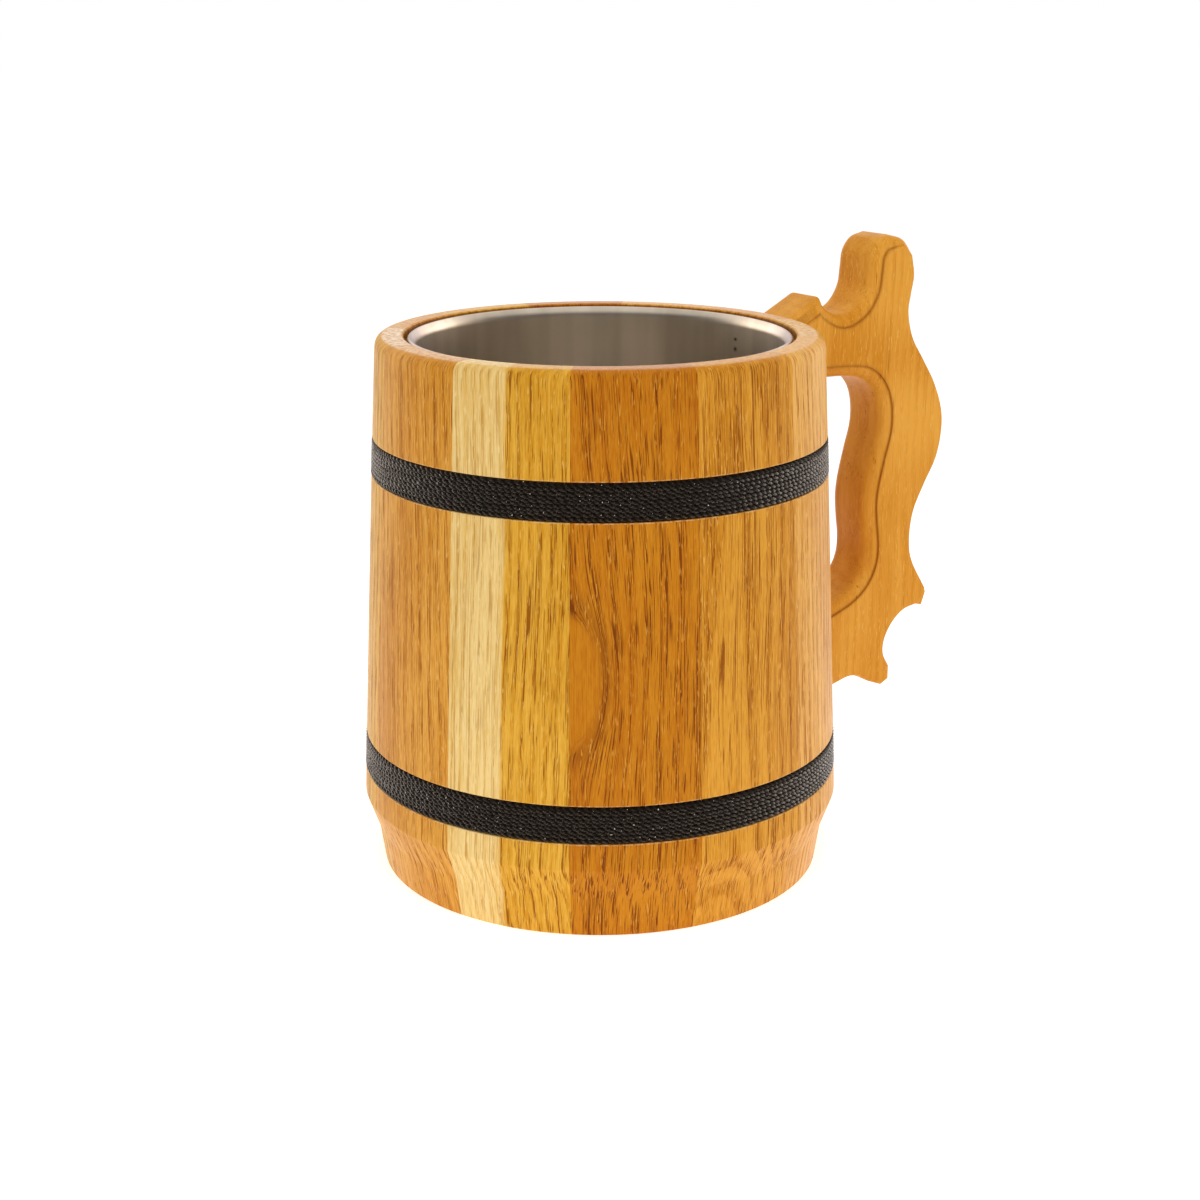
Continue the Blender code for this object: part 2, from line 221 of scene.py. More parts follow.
# Near-white of a painted sheen on the end grain of some rims
RIM_PAINTED_SHEEN = srgb(252, 230, 204)
# Brown of painted shade in the grooves and lip seat, and of the handle's dark step line
STEP_LINE_AND_SHADE_BROWN = srgb(118, 58, 8)

# Oak's levels. Two numbers are where a change starts and ends, and the next two what it gives there.
SEED_STEPS = (37.0, 11.0, 53.0)
WOBBLE_REACH = (4.0, 4.0, 0.0)
EARLY_START = (0.0, 0.12)
EARLY_END = (0.75, 0.2)
ISLAND_EDGE = (0.95, 1.15)
HEART_PLACE = 1.25
HEART_SPREAD = 0.2
HEART_DARK = 0.35
STREAK_SHARE = 0.6
CLOUD_LEVELS = (0.3, 0.7, 0.35, 0.85)
POROUS_SHARE = 0.08
LINE_START = 0.6
LINE_PORES = 0.12
LINE_SOFT = 0.08
VESSEL_EDGE = (0.05, 0.02)
DASH_START = 0.69
DASH_PORES = 0.08
DASH_SOFT = 0.05
PORE_DARK = 0.9
PORE_FACING = (0.5, 0.95, 1.0, 0.0)
FLECK_EARLY = (0.0, 1.0, 0.3, 0.9)
FLECK_EDGE = (0.6, 0.68)
FLECK_PALE = 0.55
SAP_WAVE = (0.3, 0.7, -0.5, 0.5)
SAP_BLUR = 0.6
SAP_PORES = (0.0, 1.0, 1.0, 0.6)
END_FACING = (0.92, 1.0)
RAY_EDGE = (0.4, 0.6)
CHIP_LEVELS = (0.35, 0.65, 0.0, 0.55)
# Share of that brown, for painted shade and the step line
STEP_LINE_AND_SHADE_SHARE = 0.75
SPECKLE_RELIEF = 0.5
END_RELIEF = 4.0
OAK_RELIEF = 0.00008
OAK_BUMP = 0.5
OAK_ROUGH = (0.2, 1.4, 0.36, 0.6)
OAK_GLOSS = 0.1
RIM_ROUGH = 0.32
RIM_GLOSS = 0.5

# Cord's colours and levels
CORD_DARK = srgb(3, 2, 1)
CORD_LIGHT = srgb(24, 17, 12)
CORD_DUST = srgb(222, 212, 198)
CORD_SHEEN = (1.0, 0.82, 0.66, 1.0)
DUST_EDGE = (0.83, 0.85)
CROWN_EDGE = (0.2, 0.8)
CROWN_UNEVEN = (0.3, 0.6, 0.4, 1.0)
FIBRE_ROUGH = 0.3
CORD_ROUGH = (0.0, 1.2, 0.6, 0.18)
CORD_GLOSS = (0.0, 1.0, 0.1, 0.65)
CORD_RELIEF = 0.00006
CORD_BUMP = 0.6
SHEEN_SHARE = 0.18
SHEEN_ROUGH = 0.35

# Steel's colours and levels
STEEL_DARK = srgb(210, 201, 187)
STEEL_LIGHT = srgb(230, 221, 207)
STEEL_MARK = srgb(64, 52, 42)
STEEL_EDGE = (0.4, 0.4, 0.56, 1.0)
STEEL_SHADE = (0.3, 0.7)
STEEL_ROUGH = (0.25, 0.75, 0.37, 0.41)
STEEL_RELIEF = 0.000004
STEEL_BUMP = 0.2
TURNING_SHARE = 0.05
ZINC_DARK = srgb(176, 172, 160)
ZINC_LIGHT = srgb(214, 210, 198)
ZINC_ROUGH = (0.3, 0.7, 0.28, 0.5)
ZINC_RELIEF = 0.00003
ZINC_BUMP = 0.3

# Room and floor, which look otherwise in mirrored light
WHITE = (1.0, 1.0, 1.0, 1.0)
AMBIENT = 0.55
ROOM_DARK = 0.12
ROOM_ABOVE = 0.9
ABOVE_EDGE = (0.5, 0.9)
ROOM_BACK = 1.2
BACK_EDGE = (-0.1, -0.5)
SIDE_GLOW = 2.6
SIDE_FRONT = -0.5
SIDE_SPREAD = 0.25
SIDE_TOP = (0.7, 0.3)
ROOM_TINT = (1.0, 0.93, 0.86, 1.0)
SIDE_TINT = (1.0, 0.84, 0.7, 1.0)
FLOOR_REACH = 6.0
FLOOR_COLOUR = srgb(245, 245, 245)
FLOOR_ROUGH = 0.9
FLOOR_GLOW = 0.1
FLOOR_WHITE = 0.4
FLOOR_MIRRORED = 2.0
FLOOR_FRONT = 0.12
TABLE_GLOW = 0.5
TABLE_REACH = 0.4

# Soft square lamps: name, place and power in watts
LAMP_SIZE = 0.8
LAMPS = [
    ("left_softbox", (-1.0, -0.1, 0.5), 1.5),
    ("right_softbox", (0.5, -1.0, 0.5), 2.0),
    ("front_fill", (-0.5, -1.0, 0.5), 1.2),
    ("overhead", (0.0, 0.0, 1.0), 2.2),
]


class Value:
    """One output of a node. Sums, products and the like of it become further nodes."""

    def __init__(self, graph, socket):
        self.graph = graph
        self.socket = socket

    def __add__(self, other):
        return self.graph.math("ADD", self, other)

    def __sub__(self, other):
        return self.graph.math("SUBTRACT", self, other)

    def __rsub__(self, other):
        return self.graph.math("SUBTRACT", other, self)

    def __mul__(self, other):
        return self.graph.math("MULTIPLY", self, other)

    def __truediv__(self, other):
        return self.graph.math("DIVIDE", self, other)

    def __abs__(self):
        return self.graph.math("ABSOLUTE", self)


class Graph:
    """The nodes of a material or a world, each added and linked in one call."""

    def __init__(self, holder):
        holder.use_nodes = True
        self.holder = holder
        self.tree = holder.node_tree
        shaders = {node.type: node for node in self.tree.nodes}
        self.shader = shaders.get("BSDF_PRINCIPLED") or shaders["BACKGROUND"]

    def put(self, socket, value):
        if isinstance(value, Value):
            self.tree.links.new(value.socket, socket)
        else:
            socket.default_value = value

    def add(self, kind, inputs, **settings):
        """Adds a node, fills its inputs and gives its outputs by name."""
        node = self.tree.nodes.new("ShaderNode" + kind)
        for key, value in settings.items():
            setattr(node, key, value)
        for key, value in inputs.items():
            self.put(node.inputs[key], value)
        return {socket.identifier: Value(self, socket) for socket in node.outputs}

    def finish(self, **inputs):
        """Fills inputs of the shader, named with _ for each space, and gives the material or world."""
        for key, value in inputs.items():
            self.put(self.shader.inputs[key.replace("_", " ")], value)
        return self.holder

    def coordinates(self, kind="Object"):
        return self.add("TexCoord", {})[kind]

    def attribute(self, name):
        return self.add("Attribute", {}, attribute_name=name)["Fac"]

    def ray(self, kind):
        return self.add("LightPath", {})[f"Is {kind} Ray"]

    def math(self, operation, *values):
        return self.add("Math", dict(enumerate(values)), operation=operation)["Value"]

    def vector(self, operation, *values):
        return self.add("VectorMath", dict(enumerate(values)), operation=operation)["Vector"]

    def measure(self, operation, *values):
        return self.add("VectorMath", dict(enumerate(values)), operation=operation)["Value"]

    def split(self, vector):
        return list(self.add("SeparateXYZ", {"Vector": vector}).values())

    def placed(self, vector, turn=(0, 0, 0), scale=(1, 1, 1)):
        return self.add("Mapping", {"Vector": vector, "Rotation": turn, "Scale": scale})["Vector"]

    def in_millimetres(self):
        return self.vector("MULTIPLY", self.coordinates(), (MILLIMETRES,) * 3)

    def pattern(self, name, place, kind="Fac"):
        """One of the noise patterns, as a number or as a colour."""
        stretch, detail, roughness = PATTERNS[name]
        inputs = {"Vector": self.vector("MULTIPLY", place, stretch), "Scale": 1.0}
        return self.add("TexNoise", {**inputs, "Detail": detail, "Roughness": roughness})[kind]

    def ramp(self, value, low, high, start=0.0, end=1.0, smooth=True):
        """A number that changes from start to end as the value goes from low to high."""
        inputs = {"Value": value, "From Min": low, "From Max": high, "To Min": start, "To Max": end}
        kind = "SMOOTHSTEP" if smooth else "LINEAR"
        return self.add("MapRange", inputs, interpolation_type=kind)["Result"]

    def blend(self, share, first, second):
        """A number between two others."""
        return self.ramp(share, 0.0, 1.0, first, second, smooth=False)

    def mix(self, share, first, second):
        """A colour between two others, which are inputs 6 and 7 of the node."""
        return self.add("Mix", {0: share, 6: first, 7: second}, data_type="RGBA")["Result_Color"]

    def bump(self, height, distance, strength):
        inputs = {"Height": height, "Distance": distance, "Strength": strength}
        return self.add("Bump", inputs)["Normal"]


def material_graph(name):
    """The nodes of a new material."""
    return Graph(bpy.data.materials.new(name))


def bell(g, value, middle, spread):
    """A smooth hump of height 1 around one value."""
    far = (value - middle) / spread
    return g.math("EXPONENT", far * far * -1.0)


@dataclass
class Grain:
    """What sets one piece of oak apart from plain wood, in millimetres and degrees."""

    tone: str = ""  # oak whose colours it takes, if not its slot's
    slant: float = 0.0  # lean of the fibres in the piece's face
    ring_turn: float = 60.0  # turn of the growth rings about the fibres
    ring_curve: float = 0.0  # bend of the rings, from a middle line on
    ring_middle: float = 0.0
    ring_pitch: float = 2.6
    ring_slope: float = 0.0  # rise of the rings along the fibres
    ring_start: float = 0.0
    pores: float = 0.5  # how many pore lines there are
    bands: float = 0.5  # strength of the rings, fibres and speckles
    fibres: float = 2.0
    speckles: float = 1.3
    cross: float = 1.0  # how much faster the patterns change across the rings
    sapwood: tuple = ()  # its edge at the foot and at the rim, and its oak
    swirl: tuple = ()  # middle, height, half width and half height of a plain oval island
    marks: tuple = ()  # dark marks, each with place, height, width and length
    painted_light_belts: tuple = ()  # painted light and shade: lighter or darker belts, each with height, spread and amount
    end_share: float = 0.9  # how far end grain covers the pattern, and how far a painted sheen whitens it
    end_painted_sheen: float = 0.0


def swirled(g, place, middle, height, wide, tall):
    """Grain that flows round a plain oval island, and how far each point lies from it, as 1 on its edge."""
    _, around, up = g.split(place)
    beside = around - middle
    across = beside / wide
    along = (up - height) / tall
    far = across * across + along * along
    pull = beside / g.math("MAXIMUM", far, 1.0)
    moved = g.vector("SUBTRACT", place, g.add("CombineXYZ", {"Y": pull})["Vector"])
    return moved, g.math("SQRT", far)


def growth(g, place, grain):
    """Porous early wood of each growth ring, from 0 to 1: a sharp start that fades through the year."""
    across, beside, height = g.split(g.placed(place, turn=(0, 0, math.radians(-grain.ring_turn))))
    aside = beside - grain.ring_middle
    rings = across + aside * aside * grain.ring_curve + height * grain.ring_slope
    year = g.math("FRACT", (rings - grain.ring_start) / grain.ring_pitch)
    return g.ramp(year, *EARLY_START) * g.ramp(year, *EARLY_END)


class Oak:
    """Oak as a solid pattern with fibres along local Z: growth rings, vessel lines, fibres and flecks."""

    def __init__(self, name, slot, grain, seed, turn=0.0, tilt=0.0, along=(0, 0, 0)):
        g = material_graph(name)
        self.g = g
        self.grain = grain
        self.tones = [srgb(*shade) for shade in OAKS[grain.tone or slot]]
        self.facing = abs(g.split(g.placed(g.coordinates("Normal"), turn=along))[2])
        upright = g.placed(g.coordinates(), turn=along)
        self.place = g.placed(upright, turn=(0, 0, -turn), scale=(MILLIMETRES,) * 3)
        lines = g.placed(self.place, turn=(math.radians(grain.slant), tilt, 0))
        self.lively = 1.0
        self.heart = 0.0
        if grain.swirl:
            lines, island = swirled(g, lines, *grain.swirl)
            self.lively = g.ramp(island, *ISLAND_EDGE)
            self.heart = bell(g, island, HEART_PLACE, HEART_SPREAD)
        _, self.around, self.up = g.split(lines)
        wobble = g.vector("SUBTRACT", g.pattern("oak_wobble", lines, "Color"), (NOISE_MEAN,) * 3)
        wavy = g.vector("ADD", lines, g.vector("MULTIPLY", wobble, WOBBLE_REACH))
        self.early = growth(g, wavy, grain)
        shift = tuple(seed * step for step in SEED_STEPS)
        stretch = (grain.cross, 1.0, 1.0)
        self.flowing = g.vector("MULTIPLY", g.vector("ADD", wavy, shift), stretch)
        self.straight = g.vector("MULTIPLY", g.vector("ADD", self.place, shift), stretch)
        self.fibre = self.fibres()
        self.speckle = g.pattern("oak_speckle", self.straight)

    def fibres(self):
        """Fine lines that flow with the grain and run straight on the island."""
        fibre = self.g.pattern("oak_fibre", self.flowing)
        if self.grain.swirl:
            fibre = self.g.blend(self.lively, self.g.pattern("oak_fibre", self.straight), fibre)
        return fibre

    def level(self):
        """Tone of the wood, from 0 for dark to 1 for light fibre."""
        g = self.g
        grain = self.grain
        streak = (g.pattern("oak_streak", self.flowing) - NOISE_MEAN) * STREAK_SHARE
        cloud = g.ramp(g.pattern("oak_cloud", self.straight), *CLOUD_LEVELS)
        level = (streak - self.early * grain.bands) * self.lively + cloud
        level = level + (self.fibre - NOISE_MEAN) * grain.fibres
        level = level + (self.speckle - NOISE_MEAN) * grain.speckles
        # Painted light and shade: belts lighter or darker by height
        for height, spread, amount in grain.painted_light_belts:
            level = level + bell(g, self.up, height, spread) * amount
        return level

    def pores(self):
        """Dark vessel lines and dashes, most in early wood, and single marks. End grain shows none."""
        g = self.g
        porous = self.early * POROUS_SHARE
        line_low = LINE_START - LINE_PORES * self.grain.pores
        line = g.ramp(g.pattern("oak_vessel_group", self.flowing) + porous, line_low, line_low + LINE_SOFT)
        vessel = abs(g.pattern("oak_vessel", self.flowing) - NOISE_MEAN)
        line = line * g.ramp(vessel, *VESSEL_EDGE)
        dash_low = DASH_START - DASH_PORES * self.grain.pores
        dash = g.ramp(g.pattern("oak_dash", self.flowing) + porous, dash_low, dash_low + DASH_SOFT)
        pore = g.math("MAXIMUM", line, dash) * self.lively
        for middle, height, width, length in self.grain.marks:
            mark = bell(g, self.around, middle, width) * bell(g, self.up, height, length)
            pore = g.math("MAXIMUM", pore, mark)
        return pore * g.ramp(self.facing, *PORE_FACING)

    def flecks(self):
        """Bright crumbs, more of them in early wood and round the island."""
        g = self.g
        share = g.math("MAXIMUM", g.ramp(self.early, *FLECK_EARLY), self.heart)
        return g.ramp(g.pattern("oak_crumb", self.straight), *FLECK_EDGE) * share * self.lively

    def with_sapwood(self, tones, pore):
        """The tones and the pores with sapwood on one side of a slanting, wavy edge."""
        g = self.g
        foot_edge, rim_edge, sap_oak = self.grain.sapwood
        _, beside, height = g.split(self.place)
        edge = g.ramp(height, 0.0, BARREL_HEIGHT * MILLIMETRES, foot_edge, rim_edge, smooth=False)
        wave = g.ramp(g.pattern("oak_sap_edge", self.flowing), *SAP_WAVE)
        sap = g.ramp(beside + wave - edge, SAP_BLUR, -SAP_BLUR)
        tones = [g.mix(sap, tone, srgb(*shade)) for tone, shade in zip(tones, OAKS[sap_oak])]
        return tones, pore * g.ramp(sap, *SAP_PORES)

    def material(self):
        """Lays fibres, pores and flecks over each other, then end grain with a painted sheen on some rims,
        worn edges with a painted highlight, painted shade and the handle's dark step line.
        """
        g = self.g
        tones = self.tones
        pore = self.pores()
        if self.grain.sapwood:
            tones, pore = self.with_sapwood(tones, pore)
        deep, dark, light, pale = tones
        colour = g.mix(self.level(), dark, light)
        colour = g.mix(self.heart * HEART_DARK, colour, deep)
        colour = g.mix(pore * PORE_DARK, colour, deep)
        colour = g.mix(self.flecks() * FLECK_PALE, colour, pale)

        rays = g.pattern("oak_rays", self.straight)
        # End grain whitened by a painted sheen on some staves' rims
        end_tone_with_sheen = g.mix(self.grain.end_painted_sheen, light, RIM_PAINTED_SHEEN)
        end = g.ramp(self.facing, *END_FACING, 0.0, self.grain.end_share)
        colour = g.mix(end, colour, g.mix(g.ramp(rays, *RAY_EDGE), dark, end_tone_with_sheen))
        chips = g.ramp(g.pattern("oak_chips", self.flowing), *CHIP_LEVELS)
        # Worn, chipped groove edges, paled further as a painted highlight
        colour = g.mix(g.attribute("wear") * chips, colour, WORN_EDGE_HIGHLIGHT)
        # Painted shade in the groove floors and lip seat, and the handle's dark brown step line
        colour = g.mix(g.attribute("burn") * STEP_LINE_AND_SHADE_SHARE, colour, STEP_LINE_AND_SHADE_BROWN)

        relief = self.speckle * SPECKLE_RELIEF - pore + end * rays * END_RELIEF
        normal = g.bump(relief, OAK_RELIEF, OAK_BUMP)
        rough = g.ramp(self.fibre + pore, *OAK_ROUGH, smooth=False)
        rough = g.blend(end, rough, RIM_ROUGH)
        gloss = g.blend(end, OAK_GLOSS, RIM_GLOSS)
        return g.finish(Base_Color=colour, Roughness=rough, Normal=normal, Specular_IOR_Level=gloss)


def black_cord():
    """Waxed black cord: brown fibre ends, gloss on the crowns of its plies, sheen and a few dust specks."""
    g = material_graph("black_cord")
    place = g.in_millimetres()
    fibre = g.pattern("cord_fibre", place)
    colour = g.mix(fibre, CORD_DARK, CORD_LIGHT)
    colour = g.mix(g.ramp(g.pattern("cord_dust", place), *DUST_EDGE), colour, CORD_DUST)
    uneven = g.ramp(g.pattern("cord_uneven", place), *CROWN_UNEVEN)
    crown = g.ramp(g.attribute("crown"), *CROWN_EDGE) * uneven
    rough = g.ramp(crown + fibre * FIBRE_ROUGH, *CORD_ROUGH)
    gloss = g.ramp(crown, *CORD_GLOSS)
    g.finish(Base_Color=colour, Roughness=rough, Normal=g.bump(fibre, CORD_RELIEF, CORD_BUMP))
    g.finish(Specular_IOR_Level=gloss, Specular_Tint=CORD_SHEEN)
    return g.finish(Sheen_Weight=SHEEN_SHARE, Sheen_Roughness=SHEEN_ROUGH, Sheen_Tint=CORD_SHEEN)


def liner_steel():
    """Stainless steel with fine turning lines, faint upright clouds and small dark marks at its seam."""
    g = material_graph("liner_steel")
    place = g.in_millimetres()
    turning = g.pattern("steel_turning", place)
    cloud = g.pattern("steel_cloud", place)
    shade = g.ramp(turning * TURNING_SHARE + cloud * (1 - TURNING_SHARE), *STEEL_SHADE)
    colour = g.mix(shade, STEEL_DARK, STEEL_LIGHT)
    x, y, up = g.split(place)
    angle = g.math("ARCTAN2", y, x)
    for height, tall in SEAM_MARKS:
        mark = bell(g, angle, SEAM_TURN, SEAM_WIDTH) * bell(g, up, height, tall)
        colour = g.mix(mark, colour, STEEL_MARK)
    rough = g.ramp(turning, *STEEL_ROUGH)
    g.finish(Base_Color=colour, Metallic=1.0, Specular_Tint=STEEL_EDGE)
    return g.finish(Roughness=rough, Normal=g.bump(turning, STEEL_RELIEF, STEEL_BUMP))


def screw_steel():
    """Zinc-plated steel with a cloudy, faintly scratched finish."""
    g = material_graph("screw_steel")
    place = g.in_millimetres()
    colour = g.mix(g.pattern("screw_cloud", place), ZINC_DARK, ZINC_LIGHT)
    scratch = g.pattern("screw_scratch", place)
    g.finish(Base_Color=colour, Metallic=1.0, Roughness=g.ramp(scratch, *ZINC_ROUGH))
    return g.finish(Normal=g.bump(scratch, ZINC_RELIEF, ZINC_BUMP))


def show_piece(piece, material, node):
    """Gives a piece its material and its place on the part's one body, and hides the solid it stands for."""
    piece.data.materials.clear()
    piece.data.materials.append(material)
    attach(piece, "root")
    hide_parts(node)


def lofted(name, rows, around=False, capped=True, **values):
    """A mesh through rows of points, each row a closed loop, with named values of its points if given."""
    bm = bmesh.new()
    loops = [[bm.verts.new(point) for point in row] for row in rows]
    count = len(rows[0])
    pairs = zip(loops, loops[1:] + loops[:1]) if around else zip(loops, loops[1:])
    for first, second in pairs:
        for i in range(count):
            j = (i + 1) % count
            bm.faces.new((first[i], first[j], second[j], second[i]))
    if capped:
        bm.faces.new(loops[0])
        bm.faces.new(loops[-1])
    bmesh.ops.recalc_face_normals(bm, faces=bm.faces)
    mesh = bpy.data.meshes.new(name)
    bm.to_mesh(mesh)
    bm.free()
    for key, numbers in values.items():
        mesh.attributes.new(key, "FLOAT", "POINT").data.foreach_set("value", numbers)
    smooth(mesh)
    made = bpy.data.objects.new(name, mesh)
    bpy.context.scene.collection.objects.link(made)
    return made


def smooth(mesh):
    """Smooth shading, apart from sharp edges."""
    mesh.shade_smooth()
    mesh.set_sharp_from_angle(angle=SHARP_ANGLE)


def weld(piece):
    """Joins points that meet, such as those on the axis."""
    bm = bmesh.new()
    bm.from_mesh(piece.data)
    bmesh.ops.remove_doubles(bm, verts=bm.verts, dist=WELD_DISTANCE)
    bmesh.ops.recalc_face_normals(bm, faces=bm.faces)
    bm.to_mesh(piece.data)
    bm.free()


def cut(piece, cutter):
    """Removes a cutter's shape from a piece, then the cutter."""
    boolean = piece.modifiers.new("Cut", "BOOLEAN")
    boolean.object = cutter
    boolean.solver = "MANIFOLD"
    evaluated = piece.evaluated_get(bpy.context.evaluated_depsgraph_get())
    mesh = bpy.data.meshes.new_from_object(evaluated)
    piece.modifiers.clear()
    piece.data = mesh
    bpy.data.objects.remove(cutter)


def neighbours(items):
    """Each item of a closed loop with the one before it and the one after it."""
    return zip(items[-1:] + items[:-1], items, items[1:] + items[:1])


def rounded(corners):
    """A closed profile with each corner (r, z, bend) rounded by its bend."""
    made = []
    places = [Vector(corner[:2]) for corner in corners]
    for (before, here, after), corner in zip(neighbours(places), corners):
        to_before = (before - here).normalized()
        to_after = (after - here).normalized()
        half = to_before.angle(to_after) / 2
        shorter = min(MOST_ROUNDED * (before - here).length, MOST_ROUNDED * (after - here).length)
        reach = min(corner[2] / math.tan(half), shorter)
        first = here + to_before * reach
        last = here + to_after * reach
        for i in range(ROUND_STEPS + 1):
            t = i / ROUND_STEPS
            made.append(tuple(first * (1 - t) ** 2 + here * 2 * t * (1 - t) + last * t**2))
    return made


def spun(profile, start, end, steps):
    """Rows of a closed profile turned about the axis from one angle to another."""
    rows = []
    for i in range(steps + 1):
        a = start + (end - start) * i / steps
        rows.append([(r * math.cos(a), r * math.sin(a), z) for r, z in profile])
    return rows


def turned(name, profile):
    """A mesh of a closed profile turned once round the axis."""
    return lofted(name, spun(profile, 0, math.tau, TURN_STEPS)[:-1], around=True, capped=False)


def barrel_radius(height):
    """Outer radius of the turned wood, which tapers to the rim with a slight swell."""
    share = (height - FOOT_HEIGHT) / (BARREL_HEIGHT - FOOT_HEIGHT)
    taper = BELLY_RADIUS + (RIM_RADIUS - BELLY_RADIUS) * share
    return taper + BARREL_SWELL * (1 - (2 * share - 1) ** 2)


def groove(node):
    """Corners of the groove under a band, from below: worn edges with a painted highlight, and a floor in
    painted shade.
    """
    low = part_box(node)[0].z - GROOVE_GAP
    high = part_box(node)[1].z + GROOVE_GAP
    return [
        (barrel_radius(low), low, GROOVE_EDGE_ROUND, "worn"),
        (barrel_radius(low) - GROOVE_DEPTH, low, GROOVE_FLOOR_ROUND, "painted_shade"),
        (barrel_radius(high) - GROOVE_DEPTH, high, GROOVE_FLOOR_ROUND, "painted_shade"),
        (barrel_radius(high), high, GROOVE_EDGE_ROUND, "worn"),
    ]


def stave_corners():
    """Corners of a stave's section: foot, grooves, rim, lip seat in painted shade, bore and base seat."""
    seat_radius = LINER_RADIUS + SEAT_GAP
    seat_low = BARREL_HEIGHT - LIP_SEAT_DEPTH
    base_radius = BASE_HIGH.x + TOUCH_GAP
    base_top = BASE_HIGH.z + TOUCH_GAP
    middle = BARREL_HEIGHT / 2
    return [
        (BELLY_RADIUS - FOOT_INSET, 0, FOOT_EDGE_ROUND),
        (BELLY_RADIUS - FOOT_BREAK_INSET, FOOT_BREAK_HEIGHT, FOOT_BREAK_ROUND),
        (BELLY_RADIUS, FOOT_HEIGHT, FOOT_ROUND),
        *groove("lower_cord_winding"),
        (barrel_radius(middle), middle, SWELL_ROUND),
        *groove("upper_cord_winding"),
        (RIM_RADIUS, BARREL_HEIGHT, RIM_ROUND),
        # The lip seat's edge and wall are darkened as painted shade.
        (seat_radius, BARREL_HEIGHT, SEAT_ROUND, "dark"),
        (seat_radius, seat_low, NEARLY_SHARP, "dark"),
        (BORE_RADIUS, seat_low, NEARLY_SHARP),
        (BORE_RADIUS, base_top, NEARLY_SHARP),
        (base_radius, base_top, NEARLY_SHARP),
        (base_radius, 0, BASE_SEAT_ROUND),
    ]


def corner_marks(corners):
    """Wear, with its painted highlight, and painted shade of each point of a rounded profile, by the tag of
    its corner.

    Worn corners are worn, with a painted highlight, between their ends. Painted shade fills groove floors,
    and seat corners on their later half.
    """
    dark_from = {"painted_shade": 0, "dark": ROUND_STEPS // 2 + 1}
    wear = []
    burn = []
    for corner in corners:
        tag = corner[3] if len(corner) > 3 else "plain"
        first_dark = dark_from.get(tag, ROUND_STEPS + 1)
        for i in range(ROUND_STEPS + 1):
            wear.append(float(tag == "worn" and 0 < i < ROUND_STEPS))
            burn.append(float(i >= first_dark))
    return wear, burn


# Each stave's slot and grain, turning from the handle. Staves 7 to 11 face the camera.
# Staves 6, 7 and 12 whiten their rims' end grain as a painted sheen.
STAVES = [
    ("oak_tan", Grain(slant=2)),
    ("oak_pale", Grain(tone="oak_honey", slant=-1, ring_turn=70)),
    ("oak_brown", Grain(slant=1, ring_turn=55)),
    ("oak_gold", Grain(slant=-2, ring_turn=80)),
    ("oak_tan", Grain(slant=3, ring_turn=55)),
    ("oak_gold", Grain(ring_turn=65, end_painted_sheen=1.0)),
    ("oak_tan", Grain(
        slant=-3, ring_turn=65, pores=0.3, bands=0.3, marks=((7.9, 77.7, 0.3, 0.7),), end_painted_sheen=0.3,
    )),
    # Staves 8 to 11 carry belts of painted light and shade by height.
    ("oak_gold", Grain(
        slant=0.5, ring_turn=62, ring_pitch=2.0, bands=0.4, sapwood=(-1.6, -0.3, "oak_pale"),
        painted_light_belts=((117, 12, -0.2),),
    )),
    ("oak_brown", Grain(
        ring_turn=50, ring_pitch=3.0, pores=0.7, bands=0.2, swirl=(-14.6, 57.8, 6.5, 14.0),
        marks=((5.7, 69.2, 0.35, 2.5),), painted_light_belts=((117, 12, -0.25), (6, 9, 0.4)),
    )),
    ("oak_gold", Grain(
        tone="oak_copper", slant=1, ring_turn=0, ring_curve=0.035, ring_middle=-7.4, ring_pitch=3.2,
        ring_slope=0.03, ring_start=59.55, pores=0.6, bands=0.45, painted_light_belts=((6, 9, 0.35),),
    )),
    ("oak_tan", Grain(
        tone="oak_honey", ring_turn=75, pores=0.4, painted_light_belts=((114, 14, 0.5), (6, 9, -0.2)),
    )),
    ("oak_gold", Grain(slant=-1, ring_turn=45, end_painted_sheen=0.4)),
]
BASE_GRAIN = Grain(ring_turn=20, ring_curve=0.01)
BASE_SEED = 20
# The handle carries belts of painted light and shade by height.
HANDLE_GRAIN = Grain(
    tone="oak_amber", ring_turn=80, pores=-1.0, bands=0.2, fibres=1.0, speckles=0.5, cross=5.0,
    painted_light_belts=((114, 8, -0.35), (96, 11, 0.35)), end_share=0.1,
)
HANDLE_SEED = 31


def make_staves():
    """Twelve staves of one section, each with its own oak."""
    corners = stave_corners()
    profile = rounded(corners)
    wear, burn = corner_marks(corners)
    half = math.pi / STAVE_COUNT - JOINT_GAP / BELLY_RADIUS / 2
    for i, (slot, grain) in enumerate(STAVES):
        name = f"stave_{i + 1:02d}"
        middle = STAVE_TURN + math.tau * i / STAVE_COUNT
        rows = spun(profile, middle - half, middle + half, STAVE_STEPS)
        stave = lofted("oak_" + name, rows, wear=wear * len(rows), burn=burn * len(rows))
        oak = Oak(name + "_oak", slot, grain, i + 1, turn=middle, tilt=TAPER)
        show_piece(stave, oak.material(), name)


def make_base():
    """Bottom disc with a softened edge, its grain lying across."""
    corners = [
        (BASE_HIGH.x, 0, BASE_EDGE_ROUND),
        (BASE_HIGH.x, BASE_HIGH.z, BASE_TOP_ROUND),
        (0, BASE_HIGH.z, 0),
        (0, 0, 0),
    ]
    disc = turned("oak_base", rounded(corners))
    weld(disc)
    oak = Oak("base_oak", "oak_tan", BASE_GRAIN, BASE_SEED, along=(0, math.pi / 2, 0))
    show_piece(disc, oak.material(), "base_disc")


